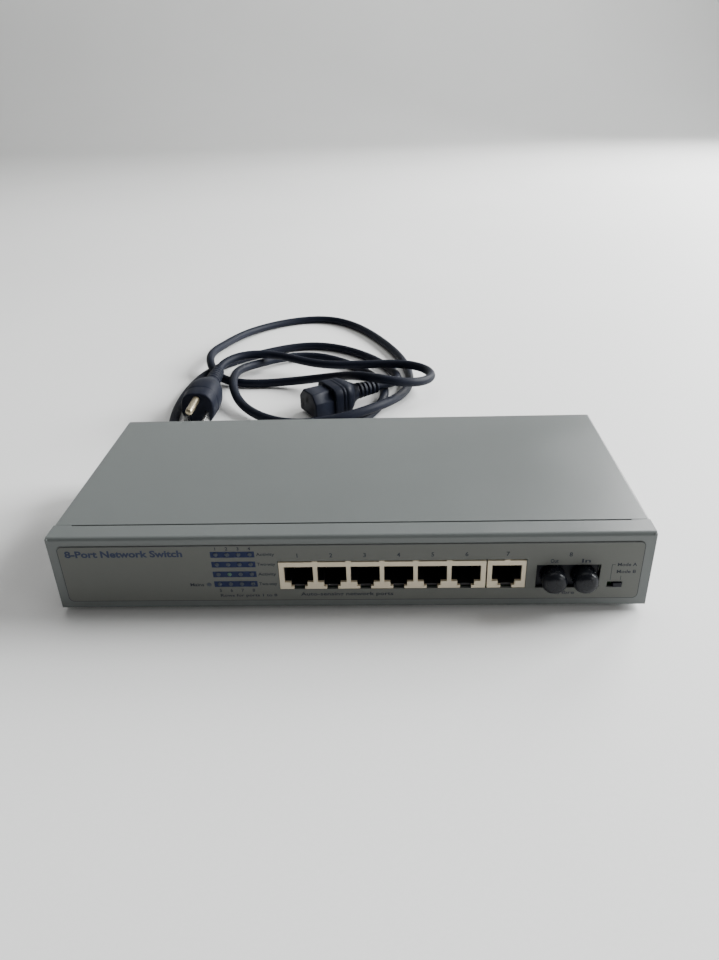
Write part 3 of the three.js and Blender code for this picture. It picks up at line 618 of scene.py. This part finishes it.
def make_connector():
    place = cord_end(CORD_ROUTE[0], CONNECTOR_HEADING)
    z = CONNECTOR_Z
    nose = loft("nose", [
        cut_corner_ring(36, 12, 8.1, z, 5), cut_corner_ring(CONNECTOR_FACE - 0.8, 12, 8.1, z, 5),
        cut_corner_ring(CONNECTOR_FACE, 11.4, 7.5, z, 4.8),
    ], place)
    ridge, groove = (13.4, 9.95), (12.9, 9.6)
    sections = (
        (28.5, ridge), (30, ridge), (30.3, groove), (31.2, groove), (31.5, ridge), (32.5, ridge),
        (32.8, groove), (33.7, groove), (34, ridge), (38.6, ridge), (39.5, (12.7, 9.3)),
    )
    grip_rings = [
        oval(18, 6.0, 6.0, z, 2.0), oval(21, 7.6, 7.4, z, 2.2), oval(24, 10.6, 9.0, z, 3.0),
        oval(26.5, 12.8, 9.8, z, 4.0), *(oval(y, *half, z, 4.5) for y, half in sections),
    ]
    grip = loft("grip", grip_rings, place)
    relief = strain_relief("connector_relief", z, 20, 6.0, 4.4, place, 5)
    mesh = joined("appliance_connector", [nose, grip, relief])
    piece = add_piece(mesh, "appliance_connector", "cord_jacket")
    shade_flat_faces_evenly(piece)
    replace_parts(piece, "cord_connector")
    # The pin slots are not cut: near-black plates on the face are painted shade where the openings are.
    slot_shade_plates = []
    for x, h in ((-7, -2), (7, -2), (0, 2)):
        loop = rounded_loop(x - 1.4, x + 1.4, h - 2.6, h + 2.6, 0.3, 2)
        face = Matrix.Translation((0, (CONNECTOR_FACE - 0.05) * MM, z * MM))
        upright = Matrix.Rotation(math.radians(90), 4, "X")
        slot_shade_plates.append(plate("slot", [loop], 0.1, place @ face @ upright))
    add_piece(joined("connector_slot_shade", slot_shade_plates), "connector_slot_shade", "slot_painted_shade", smooth=False)
    return piece


def make_cord_set():
    cord, length = make_cord()
    plug, connector = make_plug(), make_connector()
    blades = [blade("left", -1), blade("right", 1)]
    pin = make_ground_pin()


make_cord_set()


# ---------------------------------------------------------------- case


def pan_head(name, node, axis, radius, tall):
    """A cross-recessed pan head with its shank, where the CAD screw is. axis is the way it faces."""
    low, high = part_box(node)
    middle = (low + high) / 2
    axis = Vector(axis)
    reach = abs(axis.dot(high - low))
    top = middle + axis * reach / 2
    long = reach / MM
    profile = [(0, 0), (radius * 0.35, -0.02), (radius * 0.7, -0.14), (radius * 0.92, -0.4),
               (radius, -0.75 * tall), (radius, -tall), (1.25, -tall), (1.25, -long + 0.6),
               (0.8, -long), (0, -long)]
    place = Matrix.Translation(top) @ Vector((0, 1, 0)).rotation_difference(axis).to_matrix().to_4x4()
    piece = add_piece(lathe(name, profile, place, 40), name, "screw_steel")
    cutter = bmesh.new()
    for angle in (20, 110):
        arm = place @ Matrix.Rotation(math.radians(angle), 4, "Y")
        size = Matrix.Diagonal((radius * 1.05 * MM, 1.1 * tall * MM, 0.5 * MM, 1))
        bmesh.ops.create_cube(cutter, size=1, matrix=arm @ size)
    tool = bpy.data.objects.new("tool", finished(cutter, "tool", Matrix.Identity(4)))
    bpy.context.scene.collection.objects.link(tool)
    cut = piece.modifiers.new("recess", "BOOLEAN")
    cut.object = tool
    cut.operation = "DIFFERENCE"
    cut.solver = "EXACT"
    cut.use_self = True
    seen = piece.evaluated_get(bpy.context.evaluated_depsgraph_get())
    mesh = bpy.data.meshes.new_from_object(seen)
    piece.modifiers.clear()
    piece.data = mesh
    shade_flat_faces_evenly(piece)
    bpy.data.objects.remove(tool)
    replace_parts(piece, node)


def rubber_foot(name, node):
    """A round foot with an eased lower rim."""
    low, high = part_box(node)
    middle = (low + high) / 2
    tall = (high.z - low.z) / MM
    profile = [(0, 0), (4.6, 0), (5.0, 0.12), (5.3, 0.5), (5.9, tall - 0.2), (5.9, tall), (0, tall)]
    place = Matrix.Translation((middle.x, middle.y, low.z)) @ Matrix.Rotation(math.radians(90), 4, "X")
    piece = add_piece(lathe(name, profile, place, 48), name, "foot_rubber")
    shade_flat_faces_evenly(piece)
    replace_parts(piece, node)


dress("base_chassis", "case_paint", 0.12)
dress("top_cover", "cover_paint", 0.2)
dress("front_label", "label_film", 0.04)
for side, facing in (("left", -1), ("right", 1)):
    for end in ("front", "back"):
        pan_head(f"case_screw_{end}_{side}", f"cover_screw_{end}_{side}", (facing, 0, 0), 2.9, 0.85)
        rubber_foot(f"rubber_foot_{end}_{side}", f"foot_{end}_{side}")
        pan_head(f"standoff_screw_{end}_{side}", f"board_screw_{end}_{side}", (0, 0, 1), 2.8, 1.9)
    pan_head(f"flange_screw_{side}", f"inlet_screw_{side}", (0, 1, 0), 2.7, 1.5)


# ---------------------------------------------------------------- printing on the label


INK_LIFT = 0.02


def cap_height():
    """How tall a capital is in the built-in font, for a text size of 1."""
    curve = bpy.data.curves.new("h", "FONT")
    curve.body = "H"
    mesh = from_curve(curve)
    tall = max(v.co.y for v in mesh.vertices)
    bpy.data.meshes.remove(mesh)
    return tall


CAP = cap_height()


def words(body, cap, base, left=None, right=None, middle=None, bold=0.018):
    """Lettering with capitals cap mm tall, on a base line at height base mm.

    It is stretched to fill left to right, or keeps its own width about middle.
    """
    curve = bpy.data.curves.new("words", "FONT")
    curve.body = body
    curve.resolution_u = 3
    curve.offset = bold
    curve.extrude = 0.01
    mesh = from_curve(curve)
    xs = [v.co.x for v in mesh.vertices]
    tall = cap / CAP
    if middle is None:
        wide = (right - left) / (max(xs) - min(xs))
        shift = left - wide * min(xs)
    else:
        wide = tall
        shift = middle - wide * (max(xs) + min(xs)) / 2
    place = facing_front(shift * MM, LABEL_FACE - 0.3 * INK_LIFT * MM, base * MM)
    mesh.transform(place @ Matrix.Diagonal((wide * MM, tall * MM, INK_LIFT * 60 * MM, 1)))
    return mesh


def stroke(loops):
    """A printed shape, in mm across the front of the label."""
    return plate("stroke", loops, INK_LIFT, facing_front(0, LABEL_FACE - 0.4 * INK_LIFT * MM, 0))


def bar(left, right, bottom, top):
    return stroke([[(left, bottom), (right, bottom), (right, top), (left, top)]])


LIGHT_X = [-54.4 + 4.72 * k for k in range(4)]
LIGHT_Z = [29.65, 24.7, 19.7, 14.7]
POWER_LIGHT = (-59.0, 14.5)
PORT_X = [-20.6 + 13.97 * k for k in range(6)] + [66.0]
# Lettering that fills a width: the words, their capitals' height, base line, left and right.
FITTED_WORDS = (
    ("Rows for ports 1 to 8", 1.3, 8.1, -54.7, -30.4),
    ("Mains", 1.5, 13.7, -67.0, -61.2),
    ("Auto-sensing network ports", 1.6, 8.4, -20.3, 19),
    ("Out", 1.8, 24.2, 83.5, 86.7),
    ("In", 1.8, 24.2, 96.2, 99.8),
    ("Fibre", 1.6, 8.3, 88, 94.7),
    ("Mode A", 1.5, 22.3, 110.9, 118.7),
    ("Mode B", 1.5, 18.8, 110.9, 118.7),
)


def print_label():
    title = [words("8-Port Network Switch", 3.0, 28.8, -118, -68.4, bold=0.035)]
    blue = [bar(-56.7, -38.3, z - 1.45, z + 1.45) for z in LIGHT_Z]
    outer = rounded_loop(-120.9, 120.9, 6.0, 34.0, 2.2)
    inner = rounded_loop(-120.72, 120.72, 6.18, 33.82, 2.05)
    grey = [stroke([outer, inner])]
    for k, x in enumerate(LIGHT_X):
        grey.append(words(str(k + 1), 1.5, 31.8, middle=x))
        grey.append(words(str(k + 5), 1.5, 10.6, middle=x))
    for z, legend in zip(LIGHT_Z, ("Activity", "Two-way", "Activity", "Two-way")):
        grey.append(words(legend, 1.4, z - 0.7, -37.6, -30.0))
    for k, x in enumerate(PORT_X):
        grey.append(words(str(k + 1), 1.9, 27.9, middle=x))
    grey.append(words("8", 1.9, 27.3, middle=91.5))
    grey += [words(*entry) for entry in FITTED_WORDS]
    grey += [
        bar(108.62, 108.82, 15.2, 23.1), bar(108.62, 110.0, 22.95, 23.12),
        bar(112.78, 112.98, 15.2, 17.4),
    ]
    for ink, meshes in (("title", title), ("blue", blue), ("grey", grey)):
        name = f"printing_{ink}"
        add_piece(joined(name, meshes), name, f"ink_{ink}", smooth=False)


LIT_WINDOW = 9


def light_windows():
    """Domed windows in the label over the light pipes. One port shows green."""
    dome = [(0, 0), (0.95, 0), (0.95, 0.05), (0.8, 0.14), (0.5, 0.22), (0, 0.26)]
    faces_front = Matrix.Rotation(math.radians(180), 4, "Z")
    dark, lit = [], []
    spots = [(x, z) for z in LIGHT_Z for x in LIGHT_X] + [POWER_LIGHT]
    for k, (x, z) in enumerate(spots):
        at = Matrix.Translation((x * MM, LABEL_FACE - 0.02 * MM, z * MM)) @ faces_front
        (lit if k == LIT_WINDOW else dark).append(lathe("window", dome, at, 24))
    add_piece(joined("light_windows", dark), "light_windows", "light_lens")
    add_piece(joined("light_window_lit", lit), "light_window_lit", "light_lens_lit")


print_label()
light_windows()


# ---------------------------------------------------------------- network sockets

dress("jack_bank", "jack_plastic", 0.12)
dress("jack_single", "jack_plastic", 0.12)


WIRE_PITCH = 1.02


def contact_wires(index):
    """Eight spring wires that rise from the back of the socket to its front, in a black comb."""
    node = f"contact_comb_{index}"
    low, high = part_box(node)
    x = (low.x + high.x) / 2
    wires = []
    for k in range(8):
        curve = bpy.data.curves.new("wire", "CURVE")
        curve.dimensions = "3D"
        curve.bevel_depth = 0.2 * MM
        curve.bevel_resolution = 2
        curve.use_fill_caps = True
        path = [(high.y - 0.3 * MM, low.z + 0.5 * MM), (high.y - 2.5 * MM, low.z + 0.5 * MM),
                (low.y + 1.2 * MM, high.z - 0.55 * MM), (low.y + 0.4 * MM, high.z - 0.35 * MM)]
        spline = curve.splines.new("POLY")
        spline.points.add(len(path) - 1)
        for point, (y, z) in zip(spline.points, path):
            point.co = (x + (k - 3.5) * WIRE_PITCH * MM, y, z, 1)
        wires.append(from_curve(curve))
    name = f"contact_wires_{index}"
    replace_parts(add_piece(joined(name, wires), name, "contact_gold"), node)
    bm = bmesh.new()
    size = Vector((high.x - low.x, 2.6 * MM, high.z - low.z - 0.2 * MM))
    centre = Vector((x, high.y - 1.4 * MM, (low.z + high.z) / 2))
    bmesh.ops.create_cube(bm, size=1, matrix=Matrix.Translation(centre) @ Matrix.Diagonal((*size, 1)))
    for k in range(7):
        groove = Matrix.Translation(centre + Vector(((k - 3) * WIRE_PITCH * MM, -1.3 * MM, 0)))
        bmesh.ops.create_cube(bm, size=1, matrix=groove @ Matrix.Diagonal((0.4 * MM, 0.5 * MM, size.z, 1)))
    name = f"contact_carrier_{index}"
    comb = finished(bm, name, Matrix.Identity(4))
    soften(add_piece(comb, name, "black_plastic"), 0.06)


for index in range(1, 8):
    contact_wires(index)


# ---------------------------------------------------------------- fibre uplink


def dust_cap(lane):
    """A soft cup with a domed end and a rolled lip, on the barrel."""
    low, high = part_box(f"dust_cap_{lane}")
    x, z = (low.x + high.x) / 2, (low.z + high.z) / 2
    r = (high.x - low.x) / 2 / MM - 0.02
    long = (high.y - low.y) / MM
    turn = [math.pi / 2 * k / 14 for k in range(15)]
    dome = [(r * math.sin(a) ** 0.62, 3.2 * (1 - math.cos(a))) for a in turn]
    dome[0] = (0, 0)
    profile = dome + [(r - 0.1, long * 0.6), (r - 0.08, long - 1.0), (r, long - 0.75), (r, long - 0.15),
                      (r - 0.15, long), (4.1, long), (4.05, long - 0.2), (4.05, 3.6), (3.4, 1.5), (0, 1.2)]
    place = Matrix.Translation((x, low.y, z))
    name = f"cap_{lane}_soft"
    piece = add_piece(lathe(name, profile, place, 72), name, "cap_rubber", f"cap_{lane}")
    shade_flat_faces_evenly(piece)
    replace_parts(piece, f"dust_cap_{lane}")


def barrel(lane):
    """A bayonet barrel with two lugs, and the white ferrule sleeve inside it."""
    node = f"fibre_barrel_{lane}"
    low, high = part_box(node)
    x, z = (low.x + high.x) / 2, (low.z + high.z) / 2
    long = (high.y - low.y) / MM
    place = Matrix.Translation((x, low.y, z))
    profile = [(1.9, 0.15), (2.05, 0), (2.9, 0), (3.18, 0.3), (3.18, long), (1.9, long), (1.9, 0.15)]
    parts = [lathe("tube", profile, place, 56)]
    for side in (-1, 1):
        lug = [(0, 0), (0.58, 0), (0.58, 1.0), (0.4, 1.25), (0, 1.3)]
        outwards = Matrix.Rotation(-side * math.pi / 2, 4, "Z")
        at = place @ Matrix.Translation((side * 2.48 * MM, 2.4 * MM, 0)) @ outwards
        parts.append(lathe("lug", lug, at, 20))
    piece = add_piece(joined(f"barrel_{lane}", parts), f"barrel_{lane}", "nickel_plate")
    shade_flat_faces_evenly(piece)
    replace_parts(piece, node)
    sleeve = [(0.65, 1.0), (1.35, 0.9), (1.45, 1.1), (1.45, long - 0.1), (0.65, long - 0.1), (0.65, 1.0)]
    add_piece(lathe(f"ferrule_{lane}", sleeve, place, 40), f"ferrule_{lane}", "ceramic")


dress("fibre_transceiver", "black_plastic", 0.3)
for lane in ("transmit", "receive"):
    barrel(lane)
    dust_cap(lane)


# ---------------------------------------------------------------- mode switch, lights, boards, inlet

for node, recipe, edge in (
    ("mode_switch_body", "nickel_plate", 0.15), ("mode_switch_slider", "black_plastic", 0.15),
    ("main_board", "circuit_board", 0.1), ("light_board", "circuit_board", 0.1),
    ("supply_board", "circuit_board", 0.1), ("switch_chip", "chip_epoxy", 0.2),
    ("magnetics_left", "chip_epoxy", 0.25), ("magnetics_right", "chip_epoxy", 0.25),
    ("chip_heatsink", "heatsink", 0.1), ("supply_heatsink", "heatsink", 0.15),
    ("supply_transformer", "transformer_tape", 0.8), ("supply_capacitor", "capacitor_sleeve", 0.5),
    ("supply_fuse", "fuse_glass", 0.2), ("supply_harness", "harness_cable", 0.15),
    ("power_inlet", "black_plastic", 0.2), ("inlet_pin_line", "nickel_plate", 0.25),
    ("inlet_pin_neutral", "nickel_plate", 0.25), ("inlet_pin_earth", "nickel_plate", 0.25),
    ("light_pipe_power", "light_lens", 0.1),
    *((f"light_pipe_row_{k}", "light_lens", 0.1) for k in range(1, 5)),
):
    dress(node, recipe, edge)


# ---------------------------------------------------------------- floor and light


FLOOR_NEAR = -4.0
FLOOR_FAR = 2.2
FLOOR_HALF_WIDE = 5.0
SWEEP_R = 0.7
SWEEP_STEPS = 12
BACKDROP_TOP = 4.0


def make_floor():
    """A flat floor that sweeps up into a backdrop far behind."""
    profile = [(FLOOR_NEAR, 0.0), (FLOOR_FAR, 0.0)]
    for k in range(1, SWEEP_STEPS + 1):
        a = math.pi / 2 * k / SWEEP_STEPS
        profile.append((FLOOR_FAR + SWEEP_R * math.sin(a), SWEEP_R * (1 - math.cos(a))))
    profile.append((FLOOR_FAR + SWEEP_R, BACKDROP_TOP))
    bm = bmesh.new()
    sides = (-FLOOR_HALF_WIDE, FLOOR_HALF_WIDE)
    rows = [[bm.verts.new((x, y, z)) for x in sides] for y, z in profile]
    for a, b in zip(rows, rows[1:]):
        bm.faces.new((a[0], a[1], b[1], b[0]))
    mesh = finished(bm, "floor", Matrix.Identity(4))
    for polygon in mesh.polygons:
        polygon.use_smooth = True
    paint = surface("floor_paint", (0.86, 0.86, 0.845), 0.6, grain=1.5, depth=0.01, mottle=400, spread=0.02)
    mesh.materials.append(paint.material)
    floor = bpy.data.objects.new("floor", mesh)
    bpy.context.scene.collection.objects.link(floor)


def area_light(name, at, target, size, power, color=(1, 1, 1)):
    """A rectangular light, turned to its target. power is in watts."""
    data = bpy.data.lights.new(name, "AREA")
    data.shape = "RECTANGLE"
    data.size, data.size_y = size
    data.energy = power
    data.color = color
    light = bpy.data.objects.new(name, data)
    light.location = at
    light.rotation_euler = (Vector(target) - Vector(at)).to_track_quat("-Z", "Y").to_euler()
    bpy.context.scene.collection.objects.link(light)


make_floor()
area_light("window_right", (1.9, 0.6, 1.0), (0, 0, 0), (1.2, 1.2), 138, (0.97, 0.99, 1.0))
area_light("overhead", (-0.1, 0.6, 2.0), (-0.1, 0.2, 0), (2.0, 0.8), 11)
area_light("bright_wall", (1.1, 1.5, 0.85), (0.12, 0, 0), (0.7, 0.8), 34)
area_light("backdrop_light", (0.3, 1.5, 2.4), (0.2, 2.7, 0.4), (2.4, 0.8), 3)
area_light("front_fill", (0.62, -0.42, 0.22), (0.08, -0.05, 0.02), (0.4, 0.3), 1.3)
world = bpy.data.worlds.new("world")
world.use_nodes = True
background = world.node_tree.nodes["Background"]
background.inputs["Color"].default_value = (0.8, 0.8, 0.8, 1)
background.inputs["Strength"].default_value = 0.21
bpy.context.scene.world = world
